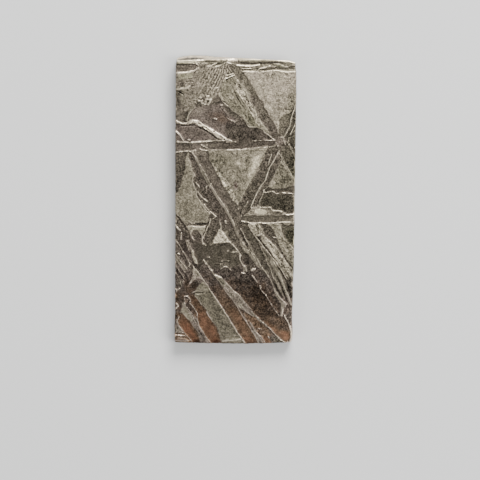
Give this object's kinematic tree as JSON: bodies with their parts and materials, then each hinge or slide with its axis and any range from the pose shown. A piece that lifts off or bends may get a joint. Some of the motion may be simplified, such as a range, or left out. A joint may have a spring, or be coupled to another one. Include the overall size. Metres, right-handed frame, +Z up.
{
  "type": "iron meteorite slice",
  "caption": "Small rectangular slice of an iron meteorite, ground flat and etched, with the Widmanstatten pattern of plates, ribs and fields in relief on both faces.",
  "frame": {"origin": "middle of the underside of the slice's bounding box, where it rests on a table", "axes": "+X across the slice, +Y along its length towards the end that leans, +Z up through its thickness to the etched front face"},
  "size_m": [0.0182, 0.0432, 0.0024],
  "materials": {
    "etched_iron": "acid-etched nickel-iron"
  },
  "bodies": {
    "root": {"meteorite_slice": "etched_iron"}
  },
  "joints": []
}
